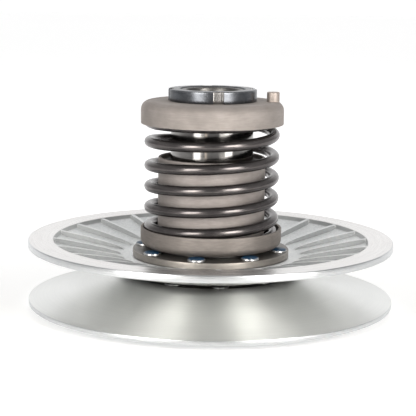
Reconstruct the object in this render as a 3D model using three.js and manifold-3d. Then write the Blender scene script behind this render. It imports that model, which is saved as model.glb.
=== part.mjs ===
// Driven (secondary) pulley set of a belt-type continuously variable transmission.
// Millimetres, +Z up along the shaft. z = 0 is the lower end of the splined shaft.
// The lower sheave is riveted to the shaft. The upper sheave slides up the shaft on a
// cam collar, turning as it goes because four guide pins run in the collar's helical
// slots, and the coil spring between the two seats pushes it back down onto the belt.

import * as THREE from "three";
import { mergeVertices } from "three/addons/utils/BufferGeometryUtils.js";
import Module from "manifold-3d";

const wasm = await Module();
wasm.setup();

// ---------------------------------------------------------------- driving dimensions
const SHEAVE_R = 106.5; // outer radius of both sheaves
const CONE = Math.tan((14 * Math.PI) / 180); // slope of both belt faces
const SHEAVE_SEG = 60; // facets round a sheave
const TUBE_SEG = 36; // facets round everything on the shaft

const LOW_HUB_R = 48.1, UP_HUB_R = 48.1; // where the belt faces end
const LOW_RIM_Z0 = 3.0, LOW_RIM_Z1 = 5.64; // rim of the fixed sheave
const UP_RIM_Z0 = 36.25, UP_RIM_Z1 = 40.17; // rim of the sliding sheave
const BAND_R = 91.96; // inner edge of the machined band on the sliding sheave
const RIBS = 24; // cast ribs on each sheave
const RIB_PHASE = 3; // degrees
const RIB_W = 3.0;

const SHAFT_R = 24.0; // polished outside of the hollow shaft
const SHAFT_TOP = 127.2;
const SHAFT_SHOULDER = 117.45; // the upper spring seat sits here
const THREAD_R = 18.7;
const BORE_R = 15.3; // relief bore above the splines
const SPLINE_TEETH = 18, SPLINE_MINOR = 12.3, SPLINE_MAJOR = 14.1, SPLINE_LEN = 42;
const SHAFT_FLANGE_R = 47.4, SHAFT_FLANGE_Z0 = 14.05, SHAFT_FLANGE_Z1 = 18.05;

const HUB_Z0 = 22.2; // underside of the sliding sheave's hub
const HUB_Z1 = 30.2; // its top, under the collar's flange
const COLLAR_R = 28.5, COLLAR_Z0 = 20.6, COLLAR_Z1 = 86.0;
const FLANGE_R = 45.72, FLANGE_Z0 = 30.25, FLANGE_Z1 = 34.01;
const RIVET_PCR = 40.0; // radius of the sliding sheave's rivet circle
const RIVET_PHASE = 258.5; // degrees
const FIXED_RIVET_PCR = 36.0, FIXED_RIVET_PHASE = 234.1;

const PIN_R = 4.4, PIN_Z = 75.0, PIN_PHASE = 45; // guide pins
const TRAVEL = 22.0; // axial travel of the sliding sheave
const TWIST = (39.9 * Math.PI) / 180; // turn of the sliding sheave over that travel
const SLOT_CLEAR = 0.3;

const SEAT_Z0 = 36.1, SEAT_FLOOR = 38.3, CUP_R = 41.17, CUP_Z1 = 46.9;
const SLEEVE_R = 31.13, SLEEVE_BORE = 29.3, SLEEVE_Z1 = 87.95;

const CAP_R = 41.39, CAP_Z0 = 107.47, CAP_INNER_Z = 117.5, CAP_Z1 = 120.6;
const STUD_R = 3.65, STUD_AT = 35.0, STUD_ANGLE = -3, STUD_Z1 = 126.2;

const NUT_R = 25.59, NUT_Z0 = 120.65, NUT_Z1 = 127.6, NUT_BORE = 18.95;
const NUT_SLOT_W = 6.0, NUT_SLOT_D = 3.0, NUT_SLOT_PHASE = 277.6;

const COIL_R = 36.3, WIRE_R = 3.0; // spring
const COIL_START = -130.68; // degrees, at the lower end
// [turn, height] along the wire: closed turns at both ends, and the open ones lean a little.
const COIL_HEIGHTS = [
  [0, 41.45], [0.45, 44.31], [0.85, 46.86], [1.113, 48.98], [1.356, 52.5], [1.87, 58.55], [2.113, 60.85],
  [2.356, 64.6], [2.87, 70.7], [3.113, 73.15], [3.356, 76.4], [3.87, 82.85], [4.113, 85.2], [4.356, 88.45],
  [4.87, 96.75], [5.113, 97.9], [5.356, 101.2], [5.6, 105.6], [5.75, 107.2], [5.87, 108], [6, 108.3], [6.15, 108.5],
  [6.35, 109.6], [6.68, 114.35],
];

// ---------------------------------------------------------------- helpers
const rad = (deg) => (deg * Math.PI) / 180;

// A three.js geometry as a solid for boolean work.
function solid(geometry) {
  const g = geometry.clone();
  for (const name of ["normal", "uv"]) g.deleteAttribute(name);
  const m = mergeVertices(g, 1e-3);
  const triVerts = new Uint32Array(m.index.array);
  const make = (t) =>
    new wasm.Manifold(
      new wasm.Mesh({
        numProp: 3,
        vertProperties: new Float32Array(m.attributes.position.array),
        triVerts: t,
      }),
    );
  let s = make(triVerts);
  if (s.volume() < 0) {
    for (let i = 0; i < triVerts.length; i += 3)
      [triVerts[i + 1], triVerts[i + 2]] = [triVerts[i + 2], triVerts[i + 1]];
    s = make(triVerts);
  }
  return s;
}

function geometryOf(s) {
  const m = s.getMesh();
  const g = new THREE.BufferGeometry();
  const n = m.numProp, from = m.vertProperties;
  const pos = new Float32Array((from.length / n) * 3);
  for (let i = 0; i < from.length / n; i++)
    for (let k = 0; k < 3; k++) pos[3 * i + k] = from[n * i + k];
  g.setAttribute("position", new THREE.BufferAttribute(pos, 3));
  g.setIndex(new THREE.BufferAttribute(new Uint32Array(m.triVerts), 1));
  g.computeVertexNormals();
  return g;
}

// A profile of [radius, z] turned about the shaft axis. A profile that is off the
// axis is closed on itself.
function turned(profile, segments = TUBE_SEG) {
  const p = profile.map(([r, z]) => new THREE.Vector2(r, z));
  const onAxis = p[0].x === 0 && p[p.length - 1].x === 0;
  if (!onAxis) p.push(p[0].clone());
  const g = new THREE.LatheGeometry(p, segments);
  g.rotateX(Math.PI / 2);
  return solid(g);
}

// Points of an arc in a profile, from one angle to another, in degrees.
const arc = (r, z, radius, from, to, steps) =>
  Array.from({ length: steps + 1 }, (_, i) => {
    const a = rad(from + ((to - from) * i) / steps);
    return [r + radius * Math.cos(a), z + radius * Math.sin(a)];
  });

// A rib: an outline of [radius, z] of the given thickness, stood at an angle.
function rib(outline, width, deg) {
  const shape = new THREE.Shape(outline.map(([r, z]) => new THREE.Vector2(r, z)));
  const g = new THREE.ExtrudeGeometry(shape, { depth: width, bevelEnabled: false });
  g.rotateX(Math.PI / 2);
  g.translate(0, width / 2, 0);
  g.rotateZ(rad(deg));
  return solid(g);
}

// An upright round bar or hole tool, standing off the axis.
function upright(profile, at, deg, segments = 8) {
  const p = profile.map(([r, z]) => new THREE.Vector2(r, z));
  const g = new THREE.LatheGeometry(p, segments);
  g.rotateX(Math.PI / 2);
  g.translate(at * Math.cos(rad(deg)), at * Math.sin(rad(deg)), 0);
  return solid(g);
}

// A bar lying along a radius.
function radial(radius, r0, r1, z, deg, segments = 16) {
  const g = new THREE.CylinderGeometry(radius, radius, r1 - r0, segments);
  g.rotateZ(-Math.PI / 2);
  g.translate((r0 + r1) / 2, 0, z);
  g.rotateZ(rad(deg));
  return solid(g);
}

const around = (count, phase, make) =>
  Array.from({ length: count }, (_, i) => make(phase + (360 / count) * i, i));
const joined = (list) => list.reduce((a, b) => a.add(b));

// ---------------------------------------------------------------- materials
const paint = (color, roughness, metalness) => () =>
  new THREE.MeshStandardMaterial({ color, roughness, metalness });
const castAluminium = paint(0xb9bcbb, 0.45, 0.8);
const turnedSteel = paint(0xb0a79f, 0.42, 0.9);
const polishedSteel = paint(0xc9c6c2, 0.2, 1.0);
const oiledSteel = paint(0x6b6763, 0.45, 0.9);
const phosphate = paint(0x2b2d33, 0.5, 0.7);
const springSteel = paint(0x4a3f3b, 0.35, 0.8);
const rivetSteel = paint(0xa9b4bd, 0.3, 0.9);
const rubber = paint(0x1c1c1c, 0.8, 0.0);
const bronze = paint(0x9b7a4a, 0.45, 0.8);
const studSteel = paint(0xc2b2a6, 0.4, 0.8);

const set = new THREE.Group();
function add(parent, name, s, material) {
  const mesh = new THREE.Mesh(geometryOf(s), material());
  mesh.name = name;
  parent.add(mesh);
  return mesh;
}
const fixed = new THREE.Group(), seat = new THREE.Group(), sliding = new THREE.Group();
set.add(fixed, seat, sliding);

// ---------------------------------------------------------------- fixed sheave
const lowFace = (r) => LOW_RIM_Z1 + (SHEAVE_R - r) * CONE;
const upFace = (r) => UP_RIM_Z0 - (SHEAVE_R - r) * CONE;
{
  let s = turned(
    [
      [24.35, 0.8],
      [42.8, 0.8],
      [44, 2.0],
      [45.6, 9.0],
      [50, 10.6],
      [98.4, 3.9],
      [99.6, LOW_RIM_Z0],
      [SHEAVE_R, LOW_RIM_Z0],
      [SHEAVE_R, LOW_RIM_Z1],
      [LOW_HUB_R, lowFace(LOW_HUB_R)],
      [LOW_HUB_R - 0.2, lowFace(LOW_HUB_R) - 0.4],
      [LOW_HUB_R - 0.3, 14.0],
      [24.35, 14.0],
    ],
    SHEAVE_SEG,
  );
  s = s.add(
    joined(
      around(RIBS, RIB_PHASE, (a) =>
        rib([[44.6, 7.0], [100.2, 3.3], [100.2, 5.0], [98, 6.3], [60, 12.5], [44.6, 12.5]], RIB_W, a),
      ),
    ),
  );
  s = s.subtract(
    joined(
      around(8, FIXED_RIVET_PHASE, (a) =>
        upright([[0, -1], [4.4, -1], [4.4, 3.2], [2.65, 3.2], [2.65, 16], [0, 16]], FIXED_RIVET_PCR, a),
      ),
    ),
  );
  add(fixed, "fixed_sheave", s, castAluminium);
}

// ---------------------------------------------------------------- shaft
{
  let s = turned([
    [0, 0],
    [23.2, 0],
    [SHAFT_R, 0.8],
    [SHAFT_R, SHAFT_FLANGE_Z0],
    [SHAFT_FLANGE_R, SHAFT_FLANGE_Z0],
    [SHAFT_FLANGE_R, SHAFT_FLANGE_Z1],
    [SHAFT_R, SHAFT_FLANGE_Z1],
    [SHAFT_R, SHAFT_SHOULDER],
    [THREAD_R, SHAFT_SHOULDER],
    [THREAD_R, SHAFT_TOP - 0.8],
    [THREAD_R - 0.8, SHAFT_TOP],
    [BORE_R + 0.8, SHAFT_TOP],
    [BORE_R, SHAFT_TOP - 0.8],
    [BORE_R, SPLINE_LEN],
    [0, SPLINE_LEN],
  ]);
  const outline = [];
  for (let i = 0; i < SPLINE_TEETH; i++) {
    const a = (360 / SPLINE_TEETH) * i, t = 360 / SPLINE_TEETH;
    for (const [k, r] of [[0.04, SPLINE_MINOR], [0.4, SPLINE_MINOR], [0.56, SPLINE_MAJOR], [0.88, SPLINE_MAJOR]])
      outline.push(new THREE.Vector2(r * Math.cos(rad(a + k * t)), r * Math.sin(rad(a + k * t))));
  }
  const cutter = new THREE.ExtrudeGeometry(new THREE.Shape(outline), { depth: SPLINE_LEN + 2, bevelEnabled: false });
  cutter.translate(0, 0, -1);
  s = s.subtract(solid(cutter));
  s = s.subtract(
    joined(
      around(8, FIXED_RIVET_PHASE, (a) =>
        upright([[0, 12], [2.65, 12], [2.65, 20], [0, 20]], FIXED_RIVET_PCR, a),
      ),
    ),
  );
  s = s.subtract(joined(around(4, PIN_PHASE, (a) => radial(PIN_R + 0.12, 10, 27, PIN_Z, a))));
  add(fixed, "splined_shaft", s, polishedSteel);
}

around(8, FIXED_RIVET_PHASE, (a, i) =>
  add(
    fixed,
    "fixed_rivet_" + (i + 1),
    upright(
      [[0, 1.0], [4.0, 1.0], [4.0, 3.0], [2.38, 3.0], [2.38, 18.1], [4.9, 18.1], [4.9, 18.8], [4.0, 19.6], [0, 19.8]],
      FIXED_RIVET_PCR,
      a,
    ),
    rivetSteel,
  ),
);

around(4, PIN_PHASE, (a, i) =>
  add(fixed, "guide_pin_" + (i + 1), radial(PIN_R, 16.4, 28.1, PIN_Z, a), polishedSteel),
);

// ---------------------------------------------------------------- spring seats and nut
{
  const s = turned([
    [SLEEVE_BORE, SEAT_Z0],
    ...arc(CUP_R - 4.18, SEAT_Z0 + 4.18, 4.18, -90, 0, 4),
    [CUP_R, CUP_Z1 - 0.4],
    [CUP_R - 0.4, CUP_Z1],
    [39.97, CUP_Z1],
    [39.57, CUP_Z1 - 0.4],
    ...arc(37.17, SEAT_FLOOR + 2.4, 2.4, 0, -90, 3),
    [SLEEVE_R + 1.3, SEAT_FLOOR],
    [SLEEVE_R, SEAT_FLOOR + 1.3],
    [SLEEVE_R, SLEEVE_Z1 - 0.5],
    [SLEEVE_R - 0.5, SLEEVE_Z1],
    [SLEEVE_BORE, SLEEVE_Z1],
  ]);
  add(seat, "lower_spring_seat", s, turnedSteel);
}
{
  let s = turned([
    [THREAD_R + 0.4, CAP_INNER_Z],
    ...arc(37.35, CAP_INNER_Z - 2.4, 2.4, 90, 0, 3),
    [39.75, CAP_Z0 + 0.35],
    [40.1, CAP_Z0],
    [CAP_R - 0.35, CAP_Z0],
    [CAP_R, CAP_Z0 + 0.35],
    ...arc(CAP_R - 5, CAP_Z1 - 5, 5, 0, 90, 5),
    [THREAD_R + 0.4, CAP_Z1],
  ]);
  s = s.subtract(upright([[0, 112], [STUD_R + 0.12, 112], [STUD_R + 0.12, 124], [0, 124]], STUD_AT, STUD_ANGLE, 16));
  add(fixed, "upper_spring_seat", s, turnedSteel);
}
add(
  fixed,
  "seat_stud",
  upright([[0, 117.6], [STUD_R, 117.6], [STUD_R, STUD_Z1 - 0.4], [STUD_R - 0.4, STUD_Z1], [0, STUD_Z1]], STUD_AT, STUD_ANGLE, 16),
  studSteel,
);
{
  let s = turned([
    [NUT_BORE, NUT_Z0],
    [NUT_R - 0.3, NUT_Z0],
    [NUT_R, NUT_Z0 + 0.3],
    [NUT_R, NUT_Z1 - 0.7],
    [NUT_R - 0.7, NUT_Z1],
    [NUT_BORE + 0.6, NUT_Z1],
    [NUT_BORE, NUT_Z1 - 0.6],
  ]);
  s = s.subtract(
    joined(
      around(4, NUT_SLOT_PHASE, (a) => {
        const g = new THREE.BoxGeometry(2 * NUT_SLOT_D, NUT_SLOT_W, 12);
        g.translate(NUT_R, 0, (NUT_Z0 + NUT_Z1) / 2);
        g.rotateZ(rad(a));
        return solid(g);
      }),
    ),
  );
  add(fixed, "ring_nut", s, phosphate);
}

// ---------------------------------------------------------------- spring
// Right-hand coil, closed at its lower end, with a short part turn under the upper seat.
{
  const K = COIL_HEIGHTS, last = K.length - 1, turns = K[last][0];
  const step = (i) => K[i + 1][0] - K[i][0];
  const grade = (i) => (K[i + 1][1] - K[i][1]) / step(i);
  // Slope at each knot, so the height never turns back between two knots.
  const slope = K.map((_, i) => {
    if (i === 0) return grade(0);
    if (i === last) return grade(last - 1);
    const a = 2 * step(i) + step(i - 1), b = step(i) + 2 * step(i - 1);
    return (a + b) / (a / grade(i - 1) + b / grade(i));
  });
  const height = (t) => {
    let i = 0;
    while (i < last - 1 && t > K[i + 1][0]) i++;
    const h = step(i), u = (t - K[i][0]) / h;
    return (
      K[i][1] * (1 + 2 * u) * (1 - u) * (1 - u) +
      slope[i] * h * u * (1 - u) * (1 - u) +
      K[i + 1][1] * u * u * (3 - 2 * u) +
      slope[i + 1] * h * u * u * (u - 1)
    );
  };
  class Coil extends THREE.Curve {
    getPoint(u, target = new THREE.Vector3()) {
      const t = u * turns, a = rad(COIL_START + 360 * t);
      return target.set(COIL_R * Math.cos(a), COIL_R * Math.sin(a), height(t));
    }
    getPointAt(u, target) {
      return this.getPoint(u, target);
    }
    getTangentAt(u, target) {
      return this.getTangent(u, target);
    }
  }
  const section = new THREE.Shape(
    Array.from({ length: 8 }, (_, i) => new THREE.Vector2(WIRE_R * Math.cos(rad(45 * i + 22.5)), WIRE_R * Math.sin(rad(45 * i + 22.5)))),
  );
  const g = new THREE.ExtrudeGeometry(section, { steps: Math.round(turns * 18), bevelEnabled: false, extrudePath: new Coil() });
  add(fixed, "coil_spring", solid(g), springSteel);
}

// ---------------------------------------------------------------- sliding sheave
{
  let s = turned(
    [
      [COLLAR_R + 0.15, HUB_Z0],
      [UP_HUB_R - 0.5, HUB_Z0],
      [UP_HUB_R, upFace(UP_HUB_R)],
      [SHEAVE_R, UP_RIM_Z0],
      [SHEAVE_R, UP_RIM_Z1 - 0.3],
      [SHEAVE_R - 0.3, UP_RIM_Z1],
      [BAND_R, UP_RIM_Z1],
      [90.9, 36.8],
      [50.5, 29.9],
      [47.4, HUB_Z1],
      [COLLAR_R + 0.15, HUB_Z1],
    ],
    SHEAVE_SEG,
  );
  s = s.add(
    joined(
      around(RIBS, RIB_PHASE, (a) =>
        rib([[50.5, 28], [92.8, 34.8], [92.8, 39.9], [91.4, 39.8], [80, 37.75], [70, 35.8], [60, 33.5], [54.5, 31.8], [52.4, 30.5], [50.5, 29.4]], RIB_W, a),
      ),
    ),
  );
  s = s.subtract(
    joined(
      around(8, RIVET_PHASE, (a) =>
        upright([[0, 18], [4.3, 18], [4.3, 24.4], [2.6, 24.4], [2.6, 33], [0, 33]], RIVET_PCR, a),
      ),
    ),
  );
  add(sliding, "sliding_sheave", s, castAluminium);
}

// ---------------------------------------------------------------- cam collar
{
  let s = turned([
    [25.4, COLLAR_Z0],
    [COLLAR_R, COLLAR_Z0],
    [COLLAR_R, FLANGE_Z0],
    [FLANGE_R, FLANGE_Z0],
    [FLANGE_R, FLANGE_Z1],
    [COLLAR_R, FLANGE_Z1],
    [COLLAR_R, 41.5],
    [27.3, 41.5],
    [27.3, 43.3],
    [COLLAR_R, 43.3],
    [COLLAR_R, 82.3],
    [27.3, 82.3],
    [27.3, 84.1],
    [COLLAR_R, 84.1],
    [COLLAR_R, COLLAR_Z1],
    [25.4, COLLAR_Z1],
    [25.4, 80.5],
    [24.4, 80.5],
    [24.4, 38],
    [25.4, 38],
  ]);
  // Helical slots: a slot outline drawn flat, then wrapped round the collar.
  const ref = 24.4, w = PIN_R + SLOT_CLEAR;
  const run = new THREE.Vector2(-TWIST * ref, -TRAVEL), len = run.length();
  const dir = run.clone().normalize(), side = new THREE.Vector2(-dir.y, dir.x);
  const flat = [];
  const at = (along, across) => flat.push(new THREE.Vector2(dir.x * along + side.x * across, dir.y * along + side.y * across));
  const steps = 7;
  for (let i = 0; i <= steps; i++) at((len * i) / steps, w);
  for (let i = 1; i < 5; i++) at(len + w * Math.sin((Math.PI * i) / 5), w * Math.cos((Math.PI * i) / 5));
  for (let i = steps; i >= 0; i--) at((len * i) / steps, -w);
  for (let i = 1; i < 5; i++) at(-w * Math.sin((Math.PI * i) / 5), -w * Math.cos((Math.PI * i) / 5));
  const slots = around(4, PIN_PHASE, (a) => {
    const g = new THREE.ExtrudeGeometry(new THREE.Shape(flat), { depth: 10, bevelEnabled: false });
    const p = g.attributes.position;
    for (let i = 0; i < p.count; i++) {
      const angle = rad(a) + p.getX(i) / ref, r = 21.5 + p.getZ(i);
      p.setXYZ(i, r * Math.cos(angle), r * Math.sin(angle), PIN_Z + p.getY(i));
    }
    return solid(g);
  });
  s = s.subtract(joined(slots));
  s = s.subtract(
    joined(around(8, RIVET_PHASE, (a) => upright([[0, 29], [2.6, 29], [2.6, 36], [0, 36]], RIVET_PCR, a))),
  );
  add(sliding, "cam_collar", s, turnedSteel);
}

around(8, RIVET_PHASE, (a, i) =>
  add(
    sliding,
    "sliding_rivet_" + (i + 1),
    upright(
      [[0, 22.1], [3.9, 22.1], [3.9, 24.2], [2.38, 24.2], [2.38, 34.06], [5.15, 34.06], [5.15, 34.9], [4.5, 35.7], [0, 35.85]],
      RIVET_PCR,
      a,
    ),
    rivetSteel,
  ),
);

// ---------------------------------------------------------------- inner pieces of the collar
const ring = (r0, r1, z0, z1) => turned([[r0, z0], [r1, z0], [r1, z1], [r0, z1]]);
add(sliding, "thrust_washer", ring(28.9, 31.9, 34.06, 36.05), oiledSteel);
add(sliding, "oil_seal_lower", ring(24.15, 25.25, 20.7, 24.0), rubber);
add(sliding, "slide_bush_lower", ring(24.1, 25.25, 24.2, 37.9), bronze);
add(sliding, "slide_bush_upper", ring(24.1, 25.25, 80.6, 83.3), bronze);
add(sliding, "oil_seal_upper", ring(24.15, 25.25, 83.5, 85.9), rubber);
for (const [name, z] of [["o_ring_lower", 42.4], ["o_ring_upper", 83.2]])
  add(
    sliding,
    name,
    turned(Array.from({ length: 6 }, (_, i) => [28.25 + 0.82 * Math.cos(rad(60 * i)), z + 0.82 * Math.sin(rad(60 * i))])),
    rubber,
  );

export default set;
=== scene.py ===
import math
import random

import bmesh
import bpy
import numpy as np
from mathutils import Matrix, Vector


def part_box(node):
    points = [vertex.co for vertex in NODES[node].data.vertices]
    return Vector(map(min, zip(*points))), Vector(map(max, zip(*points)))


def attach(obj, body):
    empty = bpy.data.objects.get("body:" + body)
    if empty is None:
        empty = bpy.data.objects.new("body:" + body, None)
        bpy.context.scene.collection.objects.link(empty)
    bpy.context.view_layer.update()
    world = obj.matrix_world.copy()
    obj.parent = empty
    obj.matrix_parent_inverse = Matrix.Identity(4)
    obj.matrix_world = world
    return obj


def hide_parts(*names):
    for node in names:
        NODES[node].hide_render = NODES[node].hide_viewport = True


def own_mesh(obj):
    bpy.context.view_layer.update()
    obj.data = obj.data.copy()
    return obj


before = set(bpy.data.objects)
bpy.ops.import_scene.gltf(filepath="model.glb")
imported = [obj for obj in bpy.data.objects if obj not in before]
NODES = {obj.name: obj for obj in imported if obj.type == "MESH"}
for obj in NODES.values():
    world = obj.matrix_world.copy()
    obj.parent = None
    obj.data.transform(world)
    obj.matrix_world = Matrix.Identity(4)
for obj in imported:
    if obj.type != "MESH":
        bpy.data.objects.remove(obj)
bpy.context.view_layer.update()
MM = 0.001
TAU = 2 * math.pi


# =====================================================================  mesh helpers
def fillet(points, steps=4):
    """A closed or open outline of (r, z) or (r, z, radius) with each corner rounded to its radius."""
    closed = points[0][0] > 1e-6 or points[-1][0] > 1e-6
    n = len(points)
    out = []
    for i, p in enumerate(points):
        rad = p[2] if len(p) > 2 else 0.0
        if rad <= 0 or (not closed and i in (0, n - 1)):
            out.append((p[0], p[1]))
            continue
        a = Vector(points[i - 1][:2])
        b = Vector(p[:2])
        c = Vector(points[(i + 1) % n][:2])
        u, v = (a - b), (c - b)
        lu, lv = u.length, v.length
        u.normalize()
        v.normalize()
        half = math.acos(max(-1, min(1, u.dot(v)))) / 2
        if half < 0.02 or half > math.pi / 2 - 0.02:
            out.append((p[0], p[1]))
            continue
        d = min(rad / math.tan(half), 0.49 * lu, 0.49 * lv)
        rr = d * math.tan(half)
        centre = b + (u + v).normalized() * (rr / math.sin(half))
        s, e = b + u * d, b + v * d
        a0 = math.atan2(s.y - centre.y, s.x - centre.x)
        a1 = math.atan2(e.y - centre.y, e.x - centre.x)
        while a1 - a0 > math.pi:
            a1 -= TAU
        while a1 - a0 < -math.pi:
            a1 += TAU
        k = max(1, round(steps * abs(a1 - a0) / (math.pi / 2)))
        for j in range(k + 1):
            t = a0 + (a1 - a0) * j / k
            out.append((centre.x + rr * math.cos(t), centre.y + rr * math.sin(t)))
    return out


def long_edges_split(profile, most, closed=True):
    out = []
    n = len(profile)
    for i in range(n if closed else n - 1):
        a, b = profile[i], profile[(i + 1) % n]
        d = math.hypot(a[0] - b[0], a[1] - b[1])
        k = max(1, math.ceil(d / most))
        for j in range(k):
            out.append((a[0] + (b[0] - a[0]) * j / k, a[1] + (b[1] - a[1]) * j / k))
    if not closed:
        out.append(profile[-1])
    return out


def finish_mesh(name, verts, faces, mats, face_mats=None, sharp=35, uv=None):
    me = bpy.data.meshes.new(name)
    me.from_pydata([tuple(x * MM for x in v) for v in verts], [], faces)
    me.validate()
    for m in mats:
        me.materials.append(m)
    if face_mats is not None:
        me.polygons.foreach_set("material_index", np.array(face_mats, np.int32))
    bm = bmesh.new()
    bm.from_mesh(me)
    bmesh.ops.recalc_face_normals(bm, faces=bm.faces)
    bm.to_mesh(me)
    bm.free()
    if uv is not None:
        layer = me.uv_layers.new(name="UVMap")
        for poly in me.polygons:
            for li in poly.loop_indices:
                layer.data[li].uv = uv[me.loops[li].vertex_index]
    me.shade_smooth()
    me.set_sharp_from_angle(angle=math.radians(sharp))
    o = bpy.data.objects.new(name, me)
    bpy.context.scene.collection.objects.link(o)
    return o


def ring_stack(name, rings, mats, ring_mats=None, closed=True, sharp=35):
    """rings[k][c] is a point: closed round c, and closed in k when closed is true.
    An open stack whose first or last ring is a single point is capped by a fan."""
    verts, index = [], []
    for r in rings:
        index.append(list(range(len(verts), len(verts) + len(r))))
        verts.extend(r)
    faces, fm = [], []
    K = len(rings)
    for k in range(K if closed else K - 1):
        a, b = index[k], index[(k + 1) % K]
        m = ring_mats[k] if ring_mats else 0
        if len(a) == 1 or len(b) == 1:
            if len(a) == 1 and len(b) == 1:
                continue
            one, many = (a, b) if len(a) == 1 else (b, a)
            C = len(many)
            for c in range(C):
                faces.append((one[0], many[c], many[(c + 1) % C]))
                fm.append(m)
            continue
        C = len(a)
        for c in range(C):
            d = (c + 1) % C
            faces.append((a[c], a[d], b[d], b[c]))
            fm.append(m)
    return finish_mesh(name, verts, faces, mats, fm, sharp)


def lathe(name, profile, mats, segs=160, phase=0.0, at=(0, 0), mat_of=None, sharp=35):
    """A profile of (r, z) turned about a vertical axis through at."""
    closed = profile[0][0] > 1e-6 or profile[-1][0] > 1e-6
    rings = []
    for r, z in profile:
        if r <= 1e-6:
            rings.append([(at[0], at[1], z)])
        else:
            rings.append(
                [
                    (at[0] + r * math.cos(phase + TAU * c / segs), at[1] + r * math.sin(phase + TAU * c / segs), z)
                    for c in range(segs)
                ]
            )
    rm = None
    if mat_of:
        n = len(profile)
        rm = [mat_of(profile[k], profile[(k + 1) % n]) for k in range(n)]
    return ring_stack(name, rings, mats, rm, closed, sharp)


def boolean(obj, tool, op="DIFFERENCE"):
    m = obj.modifiers.new("cut", "BOOLEAN")
    m.operation = op
    m.solver = "EXACT"
    m.object = tool
    dg = bpy.context.evaluated_depsgraph_get()
    me = bpy.data.meshes.new_from_object(obj.evaluated_get(dg))
    old = obj.data
    obj.modifiers.clear()
    obj.data = me
    bpy.data.meshes.remove(old)
    bpy.data.objects.remove(tool)
    return obj


# =====================================================================  materials
class Tree:
    def __init__(self, name):
        self.mat = bpy.data.materials.new(name)
        self.mat.use_nodes = True
        self.t = self.mat.node_tree
        self.n = self.t.nodes
        self.n.clear()
        self.out = self.n.new("ShaderNodeOutputMaterial")
        self.p = self.n.new("ShaderNodeBsdfPrincipled")
        self.t.links.new(self.p.outputs[0], self.out.inputs[0])

    def link(self, a, b):
        self.t.links.new(a, b)
        return self

    def node(self, kind, **props):
        n = self.n.new(kind)
        for k, v in props.items():
            setattr(n, k, v)
        return n

    def math(self, op, a, b=None, clamp=False):
        n = self.node("ShaderNodeMath", operation=op, use_clamp=clamp)
        for i, v in enumerate((a, b)):
            if v is None:
                continue
            if isinstance(v, (int, float)):
                n.inputs[i].default_value = v
            else:
                self.link(v, n.inputs[i])
        return n.outputs[0]

    def coords(self):
        """Object space: the part's own frame, so marks ride with the piece. Returns x, y, z, r, cos, sin outputs in mm."""
        if hasattr(self, "_c"):
            return self._c
        tc = self.node("ShaderNodeTexCoord")
        sc = self.node("ShaderNodeVectorMath", operation="SCALE")
        sc.inputs[3].default_value = 1000.0
        self.link(tc.outputs["Object"], sc.inputs[0])
        self.obj = sc.outputs[0]
        s = self.node("ShaderNodeSeparateXYZ")
        self.link(sc.outputs[0], s.inputs[0])
        x, y, z = s.outputs
        r = self.math("SQRT", self.math("ADD", self.math("MULTIPLY", x, x), self.math("MULTIPLY", y, y)))
        rs = self.math("MAXIMUM", r, 0.001)
        self._c = (x, y, z, r, self.math("DIVIDE", x, rs), self.math("DIVIDE", y, rs))
        return self._c

    def rings(self, scale, streak=2.0, detail=2.0, rough=0.55):
        """Noise that follows the lathe: fine across the radius and height, long round the axis."""
        x, y, z, r, cx, cy = self.coords()
        c = self.node("ShaderNodeCombineXYZ")
        self.link(self.math("MULTIPLY", r, scale), c.inputs[0])
        self.link(self.math("MULTIPLY", z, scale), c.inputs[1])
        self.link(self.math("MULTIPLY", cx, streak), c.inputs[2])
        n = self.node("ShaderNodeTexNoise", noise_dimensions="4D")
        n.inputs["Scale"].default_value = 1.0
        n.inputs["Detail"].default_value = detail
        n.inputs["Roughness"].default_value = rough
        self.link(c.outputs[0], n.inputs["Vector"])
        self.link(self.math("MULTIPLY", cy, streak), n.inputs["W"])
        return n.outputs[0]

    def noise(self, scale, detail=3.0, rough=0.55):
        """Noise in millimetres: scale is features per millimetre."""
        self.coords()
        n = self.node("ShaderNodeTexNoise", noise_dimensions="3D")
        n.inputs["Scale"].default_value = scale
        n.inputs["Detail"].default_value = detail
        n.inputs["Roughness"].default_value = rough
        self.link(self.obj, n.inputs["Vector"])
        return n.outputs[0]

    def remap(self, v, a, b, c, d, kind="LINEAR"):
        m = self.node("ShaderNodeMapRange", interpolation_type=kind)
        self.link(v, m.inputs[0])
        for i, q in enumerate((a, b, c, d)):
            m.inputs[i + 1].default_value = q
        return m.outputs[0]

    def mix(self, fac, a, b):
        m = self.node("ShaderNodeMix", data_type="RGBA")
        if isinstance(fac, (int, float)):
            m.inputs[0].default_value = fac
        else:
            self.link(fac, m.inputs[0])
        for i, v in ((6, a), (7, b)):
            if isinstance(v, tuple):
                m.inputs[i].default_value = (*v, 1)
            else:
                self.link(v, m.inputs[i])
        return m.outputs[2]

    def bump(self, height, distance_mm, strength=1.0, base=None):
        b = self.node("ShaderNodeBump")
        b.inputs["Strength"].default_value = strength
        b.inputs["Distance"].default_value = distance_mm * MM
        self.link(height, b.inputs["Height"])
        if base is not None:
            self.link(base, b.inputs["Normal"])
        return b.outputs[0]

    def set(self, **kw):
        for k, v in kw.items():
            s = self.p.inputs[k.replace("_", " ")]
            if isinstance(v, tuple):
                s.default_value = (*v, 1)
            elif isinstance(v, (int, float)):
                s.default_value = v
            else:
                self.link(v, s)
        return self

    def turned_tangent(self, anisotropic, rotation=0.25):
        tg = self.node("ShaderNodeTangent", direction_type="RADIAL", axis="Z")
        self.link(tg.outputs[0], self.p.inputs["Tangent"])
        self.p.inputs["Anisotropic"].default_value = anisotropic
        self.p.inputs["Anisotropic Rotation"].default_value = rotation
        return self


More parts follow.
